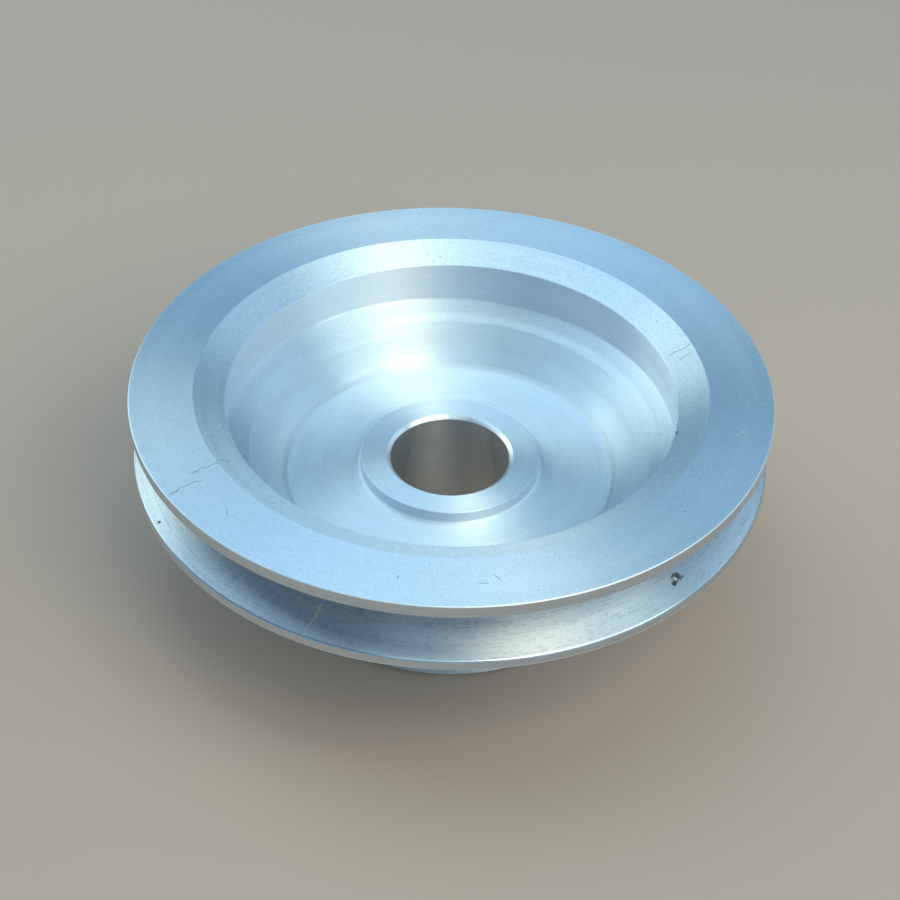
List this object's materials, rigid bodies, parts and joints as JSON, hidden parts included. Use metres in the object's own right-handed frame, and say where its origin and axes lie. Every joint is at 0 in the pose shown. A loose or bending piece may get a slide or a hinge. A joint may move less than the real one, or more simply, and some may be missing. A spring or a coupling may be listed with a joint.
{
  "type": "v belt pulley",
  "caption": "V-belt pulley: a dished, turned wheel with a V groove in its rim, a plain bore, and a hub whose radial grub screws clamp it to the shaft.",
  "frame": {"origin": "centre of the hub's end face, on the bore axis", "axes": "+Z along the bore axis, from the hub's end face to the rim's dished face; +X out through the side grub screw; +Y out through the rear grub screw"},
  "size_m": [0.15, 0.15, 0.0562],
  "materials": {
    "machined_aluminium": "lathe-turned, satin, with fine concentric tool marks",
    "black_oxide_steel": "black oxide, slightly oily"
  },
  "bodies": {
    "wheel": {"pulley_wheel": "machined_aluminium"},
    "side_screw": {"side_grub_screw": "black_oxide_steel"},
    "rear_screw": {"rear_grub_screw": "black_oxide_steel"}
  },
  "joints": [
    {"name": "side_screw_travel", "type": "slide", "parent": "wheel", "child": "side_screw", "axis": [1, 0, 0], "range_m": [-0.0006, 0.021]},
    {"name": "rear_screw_travel", "type": "slide", "parent": "wheel", "child": "rear_screw", "axis": [0, 1, 0], "range_m": [-0.0006, 0.021]}
  ]
}
